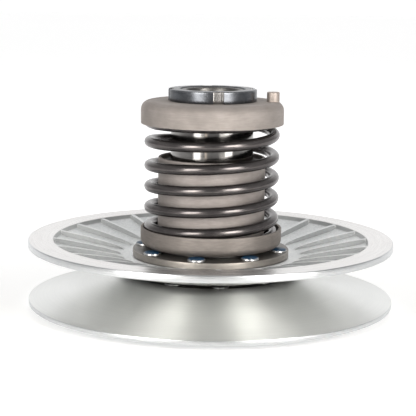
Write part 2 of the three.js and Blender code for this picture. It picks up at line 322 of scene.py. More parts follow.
def make_turned_aluminium(name, lo, hi, aniso, tint):
    """Grooves run round the cone, so the surface is rough across them and smooth along them."""
    t = Tree(name)
    fine, mid, wide = t.rings(9.0, 1.2), t.rings(2.2, 2.2), t.noise(0.035, 2)
    a, b_, c = ((0.80, 0.808, 0.798), (0.845, 0.853, 0.84), (0.78, 0.788, 0.775))
    a, b_, c = (tuple(v * tint for v in q) for q in (a, b_, c))
    col = t.mix(t.remap(mid, 0.3, 0.7, 0, 1), a, b_)
    col = t.mix(t.remap(wide, 0.4, 0.7, 0, 0.3), col, c)
    # Painted shade: the cone's colour darkens towards the hub, where shade gathers in the recess and the gap.
    hub_shade = t.remap(t.math("ADD", t.coords()[3], t.remap(wide, 0.3, 0.7, -1.5, 1.5)), 48.5, 58.5, 0.80, 0.0, "SMOOTHSTEP")
    col = t.mix(hub_shade, col, (0.16, 0.16, 0.155))
    rough = t.math("ADD", t.remap(fine, 0.3, 0.7, lo, hi), t.remap(wide, 0.3, 0.7, -0.01, 0.02))
    b = t.bump(fine, 0.004, 0.6)
    b = t.bump(mid, 0.006, 0.5, b)
    t.set(Base_Color=col, Metallic=0.9, Roughness=rough, Normal=b)
    t.turned_tangent(aniso)
    return t.mat


def make_rim_aluminium(name, a, b_, lo, hi):
    t = Tree(name)
    fine, mid, long_ = t.rings(7.0, 3.0), t.rings(1.5, 4.0), t.rings(0.5, 5.0)
    col = t.mix(t.remap(mid, 0.3, 0.7, 0, 1), a, b_)
    col = t.mix(t.remap(long_, 0.5, 0.7, 0, 0.35), col, tuple(c * 0.85 for c in a))
    rough = t.remap(fine, 0.3, 0.7, lo, hi)
    b = t.bump(fine, 0.02, 0.6)
    b = t.bump(mid, 0.03, 0.5, b)
    t.set(Base_Color=col, Metallic=1.0, Roughness=rough, Normal=b)
    t.turned_tangent(0.4)
    return t.mat


def make_cast_aluminium():
    t = Tree("cast_aluminium")
    grain, sand, cloud = t.noise(2.2, 4, 0.65), t.noise(0.7, 3), t.noise(0.06, 2)
    col = t.mix(t.remap(grain, 0.35, 0.65, 0, 1), (0.71, 0.725, 0.728), (0.87, 0.88, 0.883))
    col = t.mix(t.remap(cloud, 0.35, 0.65, 0, 0.4), col, (0.665, 0.68, 0.683))
    col = t.mix(t.remap(sand, 0.45, 0.68, 0, 0.5), col, (0.585, 0.60, 0.605))
    # Painted shade: the steep flanks of the ribs are coloured darker than the faces that lie flat, for the shade that
    # falls on them, and are made less metallic.
    geo = t.node("ShaderNodeNewGeometry")
    sn = t.node("ShaderNodeSeparateXYZ")
    t.link(geo.outputs["True Normal"], sn.inputs[0])
    flank_shade_mask = t.remap(t.math("ABSOLUTE", sn.outputs[2]), 0.55, 0.93, 0.85, 0.0, "SMOOTHSTEP")
    flank_shade_mask = t.math("MULTIPLY", flank_shade_mask, t.remap(t.coords()[3], 91.8, 93.0, 1.0, 0.0, "SMOOTHSTEP"))
    # Painted shade: the flank colour is darkest towards local -Y, darker on the +X side than on the -X side, and
    # lighter close to the wall, to follow how the lamps fall.
    x, y, z, r, cx, cy = t.coords()
    plus_y_shade_color = t.mix(t.remap(t.math("DIVIDE", x, r), -0.1, 0.35, 0.0, 1.0, "SMOOTHSTEP"), (0.30, 0.311, 0.315), (0.205, 0.215, 0.222))
    flank_shade_color = t.mix(t.remap(t.math("DIVIDE", y, r), -0.15, 0.65, 0.0, 1.0, "SMOOTHSTEP"), (0.16, 0.169, 0.174), plus_y_shade_color)
    flank_shade_color = t.mix(t.remap(r, 90.4, 91.6, 0.0, 1.0, "SMOOTHSTEP"), flank_shade_color, (0.37, 0.382, 0.388))
    col = t.mix(flank_shade_mask, col, flank_shade_color)
    rough = t.remap(sand, 0.3, 0.7, 0.5, 0.68)
    b = t.bump(sand, 0.12, 0.45)
    b = t.bump(grain, 0.06, 0.6, b)
    t.set(Base_Color=col, Metallic=t.remap(flank_shade_mask, 0.0, 0.85, 0.85, 0.2), Roughness=rough, Normal=b)
    return t.mat


def make_turned_steel(name, a, b_, rough_lo, rough_hi, fine_scale=6.0, streak=3.0, depth=0.02, aniso=0.4):
    t = Tree(name)
    fine, mid, cloud, speck = t.rings(fine_scale, streak), t.rings(1.1, streak * 1.6), t.noise(0.05, 3), t.noise(1.4, 4, 0.7)
    col = t.mix(t.remap(mid, 0.3, 0.7, 0, 1), a, b_)
    dark = tuple(c * 0.78 for c in a)
    col = t.mix(t.remap(cloud, 0.42, 0.68, 0, 0.5), col, dark)
    col = t.mix(t.remap(speck, 0.6, 0.75, 0, 0.25), col, tuple(c * 0.6 for c in a))
    rough = t.math("ADD", t.remap(fine, 0.3, 0.7, rough_lo, rough_hi), t.remap(cloud, 0.3, 0.7, -0.03, 0.05))
    b = t.bump(fine, depth, 0.7)
    b = t.bump(speck, 0.02, 0.35, b)
    t.set(Base_Color=col, Metallic=1.0, Roughness=rough, Normal=b)
    t.turned_tangent(aniso)
    return t.mat


def make_phosphate():
    t = Tree("black_phosphate")
    x, y, z, r, cx, cy = t.coords()
    grain, cloud = t.noise(2.5, 4, 0.7), t.noise(0.18, 3)
    col = t.mix(t.remap(cloud, 0.35, 0.7, 0, 1), (0.078, 0.082, 0.091), (0.118, 0.123, 0.134))
    # Worn bright on the outer top edge, where a spanner and the hand touch.
    edge = t.math("MULTIPLY", t.remap(r, 24.7, 25.5, 0, 1, "SMOOTHSTEP"), t.remap(z, 126.3, 127.2, 0, 1, "SMOOTHSTEP"))
    worn = t.math("MULTIPLY", edge, t.remap(grain, 0.42, 0.6, 0, 1))
    col = t.mix(t.math("MULTIPLY", worn, 0.7), col, (0.30, 0.31, 0.33))
    # The slots are milled after the coating, so their walls are bare.
    slot = t.math("MULTIPLY", t.remap(r, 24.2, 23.0, 0, 1, "SMOOTHSTEP"), t.remap(z, 127.56, 127.4, 0, 1))
    slot = t.math("MULTIPLY", slot, t.remap(r, 20.5, 21.4, 0, 1))
    col = t.mix(slot, col, (0.20, 0.193, 0.188))
    rough = t.remap(grain, 0.3, 0.7, 0.24, 0.34)
    t.set(Base_Color=col, Metallic=0.95, Roughness=rough, Normal=t.bump(grain, 0.012, 0.5))
    return t.mat


def make_spring_steel():
    t = Tree("spring_steel")
    uv = t.node("ShaderNodeTexCoord")
    sc = t.node("ShaderNodeVectorMath", operation="MULTIPLY")
    sc.inputs[1].default_value = (180.0, 14.0, 1.0)
    t.link(uv.outputs["UV"], sc.inputs[0])
    drawn = t.node("ShaderNodeTexNoise", noise_dimensions="3D")
    drawn.inputs["Scale"].default_value = 1.0
    drawn.inputs["Detail"].default_value = 3.0
    t.link(sc.outputs[0], drawn.inputs["Vector"])
    grain, cloud = t.noise(1.3, 4, 0.65), t.noise(0.12, 3)
    col = t.mix(t.remap(cloud, 0.35, 0.7, 0, 1), (0.088, 0.080, 0.080), (0.135, 0.122, 0.12))
    col = t.mix(t.remap(drawn.outputs[0], 0.5, 0.72, 0, 0.5), col, (0.155, 0.146, 0.144))
    rough = t.math("ADD", t.remap(drawn.outputs[0], 0.3, 0.7, 0.19, 0.26), t.remap(grain, 0.3, 0.7, -0.02, 0.03))
    b = t.bump(drawn.outputs[0], 0.02, 0.4)
    b = t.bump(grain, 0.02, 0.35, b)
    t.set(Base_Color=col, Metallic=0.9, Roughness=rough, Normal=b)
    return t.mat


def make_rivet(seed):
    """Pressed steel with a brushed-on blue mark on the head's flat."""
    t = Tree("rivet_marked_%d" % seed)
    tc = t.node("ShaderNodeTexCoord")
    sp = t.node("ShaderNodeSeparateXYZ")
    t.link(tc.outputs["Generated"], sp.inputs[0])
    dx, dy = t.math("SUBTRACT", sp.outputs[0], 0.5), t.math("SUBTRACT", sp.outputs[1], 0.5)
    rr = t.math("SQRT", t.math("ADD", t.math("MULTIPLY", dx, dx), t.math("MULTIPLY", dy, dy)))
    wob = t.noise(0.45, 3)
    grain = t.noise(2.0, 3)
    lim = t.math("ADD", rr, t.remap(wob, 0.2, 0.8, -0.07, 0.07))
    mark = t.math("MULTIPLY", t.remap(lim, 0.45, 0.49, 1, 0), t.remap(sp.outputs[2], 0.915, 0.935, 0, 1))
    col = t.mix(mark, t.mix(t.remap(grain, 0.3, 0.7, 0, 1), (0.50, 0.50, 0.50), (0.64, 0.64, 0.64)), t.mix(t.remap(wob, 0.3, 0.7, 0, 1), (0.005, 0.028, 0.065), (0.010, 0.055, 0.115)))
    t.set(Base_Color=col, Metallic=t.math("SUBTRACT", 1.0, t.math("MULTIPLY", mark, 0.9)), Roughness=t.remap(mark, 0, 1, 0.34, 0.45), Normal=t.bump(grain, 0.02, 0.4))
    return t.mat


def make_rubber():
    t = Tree("rubber")
    g = t.noise(1.2, 3)
    t.set(Base_Color=t.mix(t.remap(g, 0.3, 0.7, 0, 1), (0.018, 0.018, 0.019), (0.035, 0.035, 0.036)), Metallic=0.0, Roughness=t.remap(g, 0.3, 0.7, 0.42, 0.6), Normal=t.bump(g, 0.02, 0.3))
    return t.mat


def make_bronze():
    t = Tree("bearing_bronze")
    g, p = t.noise(1.6, 4, 0.7), t.noise(5.0, 2)
    col = t.mix(t.remap(g, 0.35, 0.65, 0, 1), (0.46, 0.31, 0.16), (0.62, 0.45, 0.26))
    col = t.mix(t.remap(p, 0.6, 0.7, 0, 0.6), col, (0.10, 0.07, 0.05))
    t.set(Base_Color=col, Metallic=0.95, Roughness=t.remap(g, 0.3, 0.7, 0.38, 0.55), Normal=t.bump(p, 0.02, 0.5))
    return t.mat


M_TURNED = make_turned_aluminium("turned_aluminium", 0.34, 0.41, 0.9, 0.96)
# Painted shade: the sliding sheave's down-facing cone takes a slightly darker tint than the fixed sheave's cone.
M_UNDER = make_turned_aluminium("turned_aluminium_under", 0.18, 0.25, 0.3, 0.94)
M_RIM = make_rim_aluminium("rim_aluminium", (0.56, 0.573, 0.583), (0.675, 0.687, 0.697), 0.24, 0.36)
M_BAND = make_rim_aluminium("band_aluminium", (0.72, 0.705, 0.695), (0.80, 0.785, 0.775), 0.22, 0.34)
M_CAST = make_cast_aluminium()
M_CAP = make_turned_steel("cap_steel", (0.365, 0.333, 0.313), (0.40, 0.367, 0.346), 0.72, 0.82, 4.0, 6.0, 0.012, 0.0)
# Painted light and shade: the lower seat's cup and sleeve are one steel; the cup takes a darker copy (seat_steel) and
# the sleeve, in the spring's shade, a lighter one (sleeve_steel).
M_SEAT = make_turned_steel("seat_steel", (0.262, 0.237, 0.219), (0.325, 0.294, 0.273), 0.62, 0.74, 6.0, 5.0, 0.015, 0.0)
M_SLEEVE = make_turned_steel("sleeve_steel", (0.40, 0.367, 0.352), (0.455, 0.42, 0.403), 0.70, 0.82, 7.0, 5.0, 0.012, 0.0)
M_COLLAR = make_turned_steel("collar_steel", (0.355, 0.326, 0.297), (0.44, 0.405, 0.37), 0.36, 0.48, 6.0, 5.0, 0.02, 0.3)
# Painted shade: the flange's top face and the collar above it take this darker copy of collar_steel, for the shade
# under the spring seat.
M_FLANGE = make_turned_steel("flange_steel", (0.165, 0.155, 0.146), (0.23, 0.217, 0.205), 0.42, 0.54, 6.0, 4.0, 0.015, 0.2)
M_SHAFT = make_turned_steel("shaft_steel", (0.225, 0.217, 0.21), (0.29, 0.281, 0.273), 0.10, 0.145, 9.0, 1.5, 0.006, 0.2)
M_OILED = make_turned_steel("oiled_steel", (0.13, 0.125, 0.12), (0.19, 0.185, 0.18), 0.34, 0.48, 6.0, 4.0, 0.015, 0.2)
M_STUD = make_turned_steel("stud_steel", (0.44, 0.385, 0.35), (0.51, 0.455, 0.42), 0.55, 0.65, 5.0, 5.0, 0.01, 0.0)
M_NUT = make_phosphate()
M_SPRING = make_spring_steel()
M_RUBBER = make_rubber()
M_BRONZE = make_bronze()

# =====================================================================  sizes read from the frame
lo_f, hi_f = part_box("fixed_sheave")
SHEAVE_R = hi_f.x / MM
CONE = math.tan(math.radians(14))
lo_s, hi_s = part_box("sliding_sheave")
UP_Z1 = hi_s.z / MM
lo_n, hi_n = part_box("ring_nut")
NUT_Z0, NUT_Z1 = lo_n.z / MM, hi_n.z / MM
lo_c, hi_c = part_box("upper_spring_seat")
CAP_Z0, CAP_Z1 = lo_c.z / MM, hi_c.z / MM
lo_l, hi_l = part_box("lower_spring_seat")
SEAT_Z0, SEAT_Z1 = lo_l.z / MM, hi_l.z / MM

RIBS, RIB_PHASE = 24, 3.0
LOW_RIM_Z0, LOW_RIM_Z1 = 3.0, 5.64
UP_RIM_Z0 = 36.25
BAND_R = 91.96
R = 106.5


def low_face(r):
    return LOW_RIM_Z1 + (R - r) * CONE


def up_face(r):
    return UP_RIM_Z0 - (R - r) * CONE


# Distances from a rib's middle at which the ribbed faces have a column of points.
OFFSETS = [0.0, 0.6, 1.05, 1.25, 1.38, 1.5, 1.65, 1.8, 1.98, 2.3, 2.9]


def rib_columns(r):
    """Angles of every column at radius r, and each one's distance from its rib."""
    out = []
    pitch = TAU / RIBS
    for k in range(RIBS):
        mid = math.radians(RIB_PHASE) + k * pitch
        edge = OFFSETS[-1] / r
        for d in OFFSETS:
            out.append((mid + d / r, d))
        gap = pitch - 2 * edge
        for j in (1, 2, 3):
            out.append((mid + edge + gap * j / 4, 99.0))
        for d in reversed(OFFSETS[1:]):
            out.append((mid + pitch - d / r, d))
    return out


def rib_shape(d, top=1.2, root=1.95):
    """1 on top of a rib, 0 beyond its root, with rounded shoulders."""
    t = (d - top) / (root - top)
    t = max(0.0, min(1.0, t))
    return 1 - t * t * (3 - 2 * t)


def ribbed_disc(name, profile, mats):
    """profile: list of (r, z, rib_z or None, material). A closed outline turned about the axis;
    where rib_z is given the surface rises (or sinks) to it on the ribs."""
    rings, rm = [], []
    for r, z, rz, m in profile:
        ring = []
        for a, d in rib_columns(r):
            zz = z if rz is None else z + (rz - z) * rib_shape(d)
            ring.append((r * math.cos(a), r * math.sin(a), zz))
        rings.append(ring)
        rm.append(m)
    return ring_stack(name, rings, mats, rm, True, 38)


def dense(a, b, n):
    return [a + (b - a) * i / n for i in range(n + 1)]


# =====================================================================  fixed sheave
def build_fixed_sheave():
    T, RM, C = 0, 1, 2
    prof = []
    # belt face, from rim to hub
    prof += [(R - 0.25, LOW_RIM_Z1 + 0.02, None, T)]
    for r in dense(R - 0.9, 48.9, 27):
        prof.append((r, low_face(r), None, T))
    top = low_face(48.1)
    prof += [(48.35, top - 0.06, None, RM), (48.05, top - 0.16, None, RM), (47.9, top - 0.42, None, RM)]
    prof += [(47.8, 14.2, None, RM), (47.6, 14.0, None, RM), (24.6, 14.0, None, RM), (24.35, 13.8, None, RM)]
    prof += [(24.35, 1.2, None, RM), (24.7, 0.8, None, RM), (42.4, 0.8, None, RM), (43.4, 1.1, None, C), (44.0, 2.0, None, C)]
    prof += [(44.6, 4.6, None, C), (45.3, 7.6, None, C), (45.8, 8.7, None, C)]
    # ribbed back
    def web(r):
        return 10.6 + (r - 50) * (3.9 - 10.6) / (98.4 - 50)

    def rib_z(r):
        return 7.0 + (r - 44.6) * (3.3 - 7.0) / (100.2 - 44.6)

    prof += [(46.6, 9.3, 7.6, C), (48.4, 10.0, 6.75, C)]
    for r in dense(50.2, 97.6, 22):
        w = web(r)
        prof.append((r, w, min(rib_z(r), w), C))
    prof += [(98.6, 3.75, 3.45, C), (99.4, 3.35, 3.3, C), (100.2, 3.05, 3.05, C), (100.9, 3.0, None, RM)]
    prof += [(R - 0.5, 3.0, None, RM), (R - 0.15, 3.1, None, RM), (R, 3.4, None, RM), (R, 5.3, None, RM), (R - 0.08, 5.55, None, RM)]
    o = ribbed_disc("fixed_sheave_body", prof, [M_TURNED, M_RIM, M_CAST])
    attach(o, "fixed")
    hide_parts("fixed_sheave")
    return o


# =====================================================================  sliding sheave
def build_sliding_sheave():
    T, RM, C, B = 0, 1, 2, 3
    z1 = UP_Z1
    prof = []
    # machined band and its inner lip
    prof += [(R - 0.55, z1, None, B)]
    for r in dense(R - 1.5, BAND_R + 1.0, 6):
        prof.append((r, z1, None, B))
    prof += [(BAND_R + 0.35, z1 - 0.02, None, B), (BAND_R + 0.05, z1 - 0.2, z1 - 0.2, C), (BAND_R - 0.1, z1 - 0.45, z1 - 0.4, C)]

    def floor(r):
        return 29.9 + (r - 50.5) * (36.9 - 29.9) / (90.9 - 50.5)

    def rib_top(r):
        knots = [(50.5, 29.9), (52.4, 30.5), (54.5, 31.8), (60.0, 33.5), (70.0, 35.8), (80.0, 37.75), (91.6, 39.83)]
        for (a, p), (b, q) in zip(knots, knots[1:]):
            if r <= b:
                return p + (q - p) * (r - a) / (b - a)
        return knots[-1][1]

    prof += [(91.7, z1 - 1.2, 39.73, C), (91.5, z1 - 1.85, 39.66, C), (91.1, 37.75, 39.58, C), (90.4, 37.3, 39.48, C), (89.4, 36.95, 39.35, C)]
    for r in dense(88.0, 54.6, 22):
        f = floor(r) + 0.12 * max(0.0, (r - 84.0) / 4.0)
        prof.append((r, f, max(rib_top(r), f), C))
    prof += [(53.6, floor(53.6), 31.25, C), (52.6, floor(52.6), 30.62, C), (51.6, 30.09, 30.16, C), (50.6, 29.95, None, C), (49.0, 30.05, None, C), (47.8, 30.16, None, C), (46.8, 30.2, None, RM)]
    prof += [(29.0, 30.2, None, RM), (28.65, 29.95, None, RM), (28.65, 22.5, None, RM), (28.95, 22.2, None, RM)]
    prof += [(47.2, 22.2, None, RM), (47.55, 22.1, None, RM), (47.85, 21.7, None, RM), (48.2, 21.36, None, T)]
    for r in dense(49.2, R - 0.6, 27):
        prof.append((r, up_face(r), None, T))
    prof += [(R - 0.1, UP_RIM_Z0 + 0.03, None, RM), (R, UP_RIM_Z0 + 0.3, None, RM), (R, z1 - 0.55, None, RM), (R - 0.1, z1 - 0.2, None, RM), (R - 0.28, z1 - 0.04, None, RM)]
    o = ribbed_disc("sliding_sheave_body", prof, [M_UNDER, M_RIM, M_CAST, M_BAND])
    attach(o, "sliding")
    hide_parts("sliding_sheave")
    return o


# =====================================================================  shaft
def build_shaft():
    teeth, minor, major = 18, 12.3, 14.1
    cols = []
    for i in range(teeth):
        for f, q in ((0.03, 0.0), (0.22, 0.0), (0.40, 0.0), (0.45, 0.18), (0.53, 0.82), (0.58, 1.0), (0.72, 1.0), (0.86, 1.0), (0.91, 0.82), (0.99, 0.18)):
            cols.append(((i + f) * TAU / teeth, q))
    C = len(cols)
    threads = []
    z = 127.2 - 1.0
    while z > 118.4:
        threads += [(18.7, z), (18.62, z - 0.12), (18.0, z - 0.62), (18.0, z - 0.82), (18.62, z - 1.34)]
        z -= 1.5
    outer = [(12.9, 0.0), (22.9, 0.0), (23.5, 0.15), (23.9, 0.6), (24, 1.1), (24, 13.8), (24.15, 14.05), (46.9, 14.05), (47.3, 14.2), (47.4, 14.5), (47.4, 17.5), (47.25, 17.9), (46.9, 18.05), (24.9, 18.05), (24.3, 18.25), (24.05, 18.8), (24, 19.5)]
    outer += [(24, 19.5 + (116.6 - 19.5) * i / 30) for i in range(1, 31)]
    outer += [(23.9, 117.1), (23.5, 117.45), (18.4, 117.45), (18.0, 117.7)]
    outer += list(reversed(threads))
    outer += [(18.2, 126.8), (17.7, 127.15), (17.4, 127.2), (16.2, 127.2), (15.9, 127.1), (15.5, 126.7), (15.3, 126.2)]
    outer += [(15.3, 126.2 + (43.0 - 126.2) * i / 16) for i in range(1, 17)]
    prof = long_edges_split(outer, 6.0, False)
    rings, rm = [], []
    for r, zz in prof[1:]:
        rings.append([(r * math.cos(a), r * math.sin(a), zz) for a, q in cols])
        ground = 23.0 < r < 24.4 and 18.2 < zz < 117.4
        rm.append(0 if ground else 1)
    # splines: the section repeats at each height, with a lead-in at both ends
    def sec(depth_lo, z_):
        return [((minor + depth_lo + (major - minor - depth_lo) * q) * math.cos(a), (minor + depth_lo + (major - minor - depth_lo) * q) * math.sin(a), z_) for a, q in cols]

    rings.append(sec(1.75, 42.2))
    rings.append(sec(1.6, 41.6))
    rings.append(sec(0.0, 40.2))
    for k in range(1, 8):
        rings.append(sec(0.0, 40.2 - (40.2 - 1.0) * k / 8))
    rings.append(sec(0.0, 1.0))
    rings.append(sec(0.8, 0.0))
    rm += [1] * (len(rings) - len(rm))
    o = ring_stack("shaft_body", rings, [M_SHAFT, M_OILED], rm, True, 32)
    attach(o, "fixed")
    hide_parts("splined_shaft")
    return o


# =====================================================================  spring seats, nut, stud
def build_seats():
    prof = fillet(
        [
            (19.05, 117.5, 0.3), (39.75, 117.5, 2.4), (39.75, CAP_Z0, 0.35), (41.39, CAP_Z0, 0.35), (41.39, CAP_Z1, 5.0), (19.05, CAP_Z1, 0.35),
        ],
        8,
    )
    cap = lathe("upper_seat_cap", long_edges_split(prof, 3.0), [M_CAP], 192)
    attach(cap, "fixed")
    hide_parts("upper_spring_seat")
    prof = fillet(
        [
            (29.3, 36.1, 0.4), (41.17, 36.1, 4.18), (41.17, SEAT_Z0 + 10.8, 0.4), (39.57, 46.9, 0.4), (39.57, 38.3, 2.4), (31.13, 38.3, 1.3),
            (31.13, 87.95, 0.5), (29.3, 87.95, 0.5),
        ],
        8,
    )
    seat = lathe("lower_seat_cup", long_edges_split(prof, 3.0), [M_SEAT, M_SLEEVE], 192, mat_of=lambda p, q: 1 if max(p[0], q[0]) < 31.5 and min(p[1], q[1]) > 38.5 else 0)
    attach(seat, "lower_seat")
    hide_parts("lower_spring_seat")
    a = math.radians(-3)
    prof = [(0, 117.6), (3.4, 117.6), (3.65, 117.9), (3.65, 120.4), (3.65, 123.0), (3.65, 125.6), (3.58, 125.95), (3.35, 126.17), (3.0, 126.2), (1.5, 126.2), (0, 126.2)]
    stud = lathe("seat_stud_body", prof, [M_STUD], 48, 0, (35.0 * math.cos(a), 35.0 * math.sin(a)))
    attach(stud, "fixed")
    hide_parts("seat_stud")
    return cap, seat, stud


def build_nut():
    ro, depth, half, phase = 25.59, 3.0, 3.0, math.radians(277.6)
    cols = []  # (angle shift in mm at the outer radius, outer radius)
    notch = [(0.0, ro - depth), (1.2, ro - depth + 0.02), (2.2, ro - depth + 0.06), (2.62, ro - depth + 0.12), (2.86, ro - depth + 0.3), (2.97, ro - depth + 0.6), (3.0, ro - 1.2), (3.03, ro - 0.35), (3.12, ro - 0.12), (3.32, ro)]
    for k in range(4):
        mid = phase + k * math.pi / 2
        e = notch[-1][0]
        for d, rr in notch:
            cols.append((mid + d / rr, rr))
        a0 = mid + e / ro
        gap = math.pi / 2 - 2 * e / ro
        n = 30
        for j in range(1, n):
            cols.append((a0 + gap * j / n, ro))
        for d, rr in reversed(notch[1:]):
            cols.append((mid + math.pi / 2 - d / rr, rr))
    z0, z1 = NUT_Z0, NUT_Z1
    section = []  # (share between bore and outside, z, inset at outside)
    bore = []
    z = z0 + 0.9
    bore_pts = [(18.95 + 0.55, z0), (18.95 + 0.1, z0 + 0.5)]
    while z < z1 - 1.6:
        bore_pts += [(18.95, z), (19.5, z + 0.45), (19.5, z + 0.62), (18.95, z + 1.1)]
        z += 1.5
    bore_pts += [(18.95, z1 - 0.7), (19.1, z1 - 0.45), (19.55, z1)]
    rings = []
    # outside, bottom to top
    for inset, zz in ((0.3, z0), (0.1, z0 + 0.08), (0.0, z0 + 0.3), (0.0, z0 + 1.8), (0.0, (z0 + z1) / 2), (0.0, z1 - 1.8), (0.0, z1 - 0.6), (0.1, z1 - 0.28), (0.3, z1 - 0.09), (0.62, z1)):
        rings.append([((rr - inset) * math.cos(a), (rr - inset) * math.sin(a), zz) for a, rr in cols])
    rings.append([(21.6 * math.cos(a), 21.6 * math.sin(a), z1) for a, rr in cols])
    for rr_, zz in reversed(bore_pts):
        rings.append([(rr_ * math.cos(a), rr_ * math.sin(a), zz) for a, rr in cols])
    rings.append([(21.6 * math.cos(a), 21.6 * math.sin(a), z0) for a, rr in cols])
    o = ring_stack("ring_nut_body", rings, [M_NUT], None, True, 32)
    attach(o, "fixed")
    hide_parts("ring_nut")
    return o


# =====================================================================  cam collar
def build_collar():
    prof = fillet(
        [
            (25.4, 20.6, 0.3), (28.5, 20.6, 0.5), (28.5, 30.25, 0.2), (45.72, 30.25, 0.35), (45.72, 34.01, 0.45), (28.5, 34.01, 0.5), (28.5, 41.5, 0.1),
            (27.3, 41.5, 0.2), (27.3, 43.3, 0.2), (28.5, 43.3, 0.1), (28.5, 82.3, 0.1), (27.3, 82.3, 0.2), (27.3, 84.1, 0.2), (28.5, 84.1, 0.1),
            (28.5, 86.0, 0.4), (25.4, 86.0, 0.3), (25.4, 80.5, 0), (24.4, 80.5, 0.2), (24.4, 38, 0.2), (25.4, 38, 0),
        ],
        4,
    )
    o = lathe("cam_collar_body", long_edges_split(prof, 4.0), [M_COLLAR, M_FLANGE], 144, mat_of=lambda p, q: 1 if min(p[1], q[1]) > 33.9 and max(p[0], q[0]) < 45.5 else 0)
    twist, travel, ref, w, pin_z = math.radians(39.9), 22.0, 24.4, 4.7, 75.0
    run = Vector((-twist * ref, -travel))
    L = run.length
    d = run.normalized()
    s = Vector((-d.y, d.x))
    flat = []
    steps = 14
    for i in range(steps + 1):
        flat.append(d * (L * i / steps) + s * w)
    for i in range(1, 10):
        t = math.pi * i / 10
        flat.append(d * (L + w * math.sin(t)) + s * (w * math.cos(t)))
    for i in range(steps, -1, -1):
        flat.append(d * (L * i / steps) - s * w)
    for i in range(1, 10):
        t = math.pi * i / 10
        flat.append(d * (-w * math.sin(t)) - s * (w * math.cos(t)))
    verts, faces = [], []
    for k in range(4):
        base = len(verts)
        a0 = math.radians(45 + 90 * k)
        n = len(flat)
        for rr in (22.0, 31.0):
            for p in flat:
                verts.append((rr * math.cos(a0 + p.x / ref), rr * math.sin(a0 + p.x / ref), pin_z + p.y))
        faces.append([base + i for i in range(n)])
        faces.append([base + n + i for i in reversed(range(n))])
        for i in range(n):
            j = (i + 1) % n
            faces.append((base + i, base + n + i, base + n + j, base + j))
    tool = finish_mesh("cam_tool", verts, faces, [M_COLLAR])
    bm = bmesh.new()
    bm.from_mesh(tool.data)
    bmesh.ops.triangulate(bm, faces=[f for f in bm.faces if len(f.verts) > 4])
    bm.to_mesh(tool.data)
    bm.free()
    boolean(o, tool)
    o.data.shade_smooth()
    o.data.set_sharp_from_angle(angle=math.radians(32))
    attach(o, "sliding")
    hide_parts("cam_collar")
    return o


# =====================================================================  rivets, pins, inner rings
def build_small():
    rng = random.Random(7)
    for i in range(8):
        a = math.radians(258.5 + 45 * i)
        top = [(5.15, 34.06), (5.16, 34.35), (5.05, 34.75), (4.8, 35.15), (4.45, 35.45), (4.0, 35.65), (3.2, 35.78), (2.0, 35.84), (0, 35.85)]
        prof = [(0, 22.1), (3.6, 22.1), (3.9, 22.4), (3.9, 23.9), (3.6, 24.2), (2.38, 24.2), (2.38, 34.06)] + top
        o = lathe("sliding_rivet_body_%d" % (i + 1), prof, [make_rivet(i + 1)], 40, rng.random(), (40.0 * math.cos(a), 40.0 * math.sin(a)), sharp=30)
        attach(o, "sliding")
        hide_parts("sliding_rivet_%d" % (i + 1))
    plain = make_turned_steel("rivet_steel", (0.52, 0.52, 0.52), (0.64, 0.64, 0.64), 0.26, 0.4, 3.0, 3.0, 0.01, 0.0)
    for i in range(8):
        a = math.radians(234.1 + 45 * i)
        prof = [(0, 1.0), (3.7, 1.0), (4.0, 1.3), (4.0, 2.7), (3.7, 3.0), (2.38, 3.0), (2.38, 18.1), (4.9, 18.1), (4.9, 18.5), (4.75, 18.95), (4.4, 19.35), (3.9, 19.6), (2.4, 19.76), (0, 19.8)]
        o = lathe("fixed_rivet_body_%d" % (i + 1), prof, [plain], 40, 0, (36 * math.cos(a), 36 * math.sin(a)), sharp=30)
        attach(o, "fixed")
        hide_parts("fixed_rivet_%d" % (i + 1))
    for i in range(4):
        prof = [(0, 16.4), (3.9, 16.4), (4.25, 16.55), (4.4, 16.9), (4.4, 22.0), (4.4, 27.5), (4.3, 27.85), (3.95, 28.05), (2.0, 28.1), (0, 28.1)]
        o = lathe("guide_pin_body_%d" % (i + 1), prof, [M_SHAFT], 48, sharp=30)
        turn = Matrix.Rotation(math.radians(45 + 90 * i), 4, "Z") @ Matrix.Translation((0, 0, 75 * MM)) @ Matrix.Rotation(math.radians(90), 4, "Y")
        o.data.transform(turn)
        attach(o, "fixed")
        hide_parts("guide_pin_%d" % (i + 1))
    rings = [
        ("thrust_washer", [(28.9, 34.06, 0.2), (31.9, 34.06, 0.25), (31.9, 36.05, 0.25), (28.9, 36.05, 0.2)], M_OILED, "turned_steel"),
        ("slide_bush_lower", [(24.1, 24.2, 0.3), (25.25, 24.2, 0.3), (25.25, 37.9, 0.3), (24.1, 37.9, 0.3)], M_BRONZE, "bearing_bronze"),
        ("slide_bush_upper", [(24.1, 80.6, 0.3), (25.25, 80.6, 0.3), (25.25, 83.3, 0.3), (24.1, 83.3, 0.3)], M_BRONZE, "bearing_bronze"),
        ("oil_seal_lower", [(24.15, 20.9, 0.1), (24.6, 20.7, 0.2), (25.25, 20.7, 0.2), (25.25, 24.0, 0.2), (24.9, 24.0, 0.1), (24.6, 21.9, 0.2)], M_RUBBER, "rubber"),
        ("oil_seal_upper", [(24.6, 84.6, 0.2), (24.9, 83.5, 0.1), (25.25, 83.5, 0.2), (25.25, 85.9, 0.2), (24.6, 85.9, 0.2), (24.15, 85.6, 0.1)], M_RUBBER, "rubber"),
    ]
    for name, pts, mat, slot in rings:
        o = lathe(name + "_body", long_edges_split(fillet(pts, 4), 4.0), [mat], 128)
        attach(o, "sliding")
        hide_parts(name)
    for name, z in (("o_ring_lower", 42.4), ("o_ring_upper", 83.2)):
        prof = [(28.25 + 0.82 * math.cos(TAU * i / 16), z + 0.82 * math.sin(TAU * i / 16)) for i in range(16)]
        o = lathe(name + "_body", prof, [M_RUBBER], 128)
        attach(o, "sliding")
        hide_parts(name)


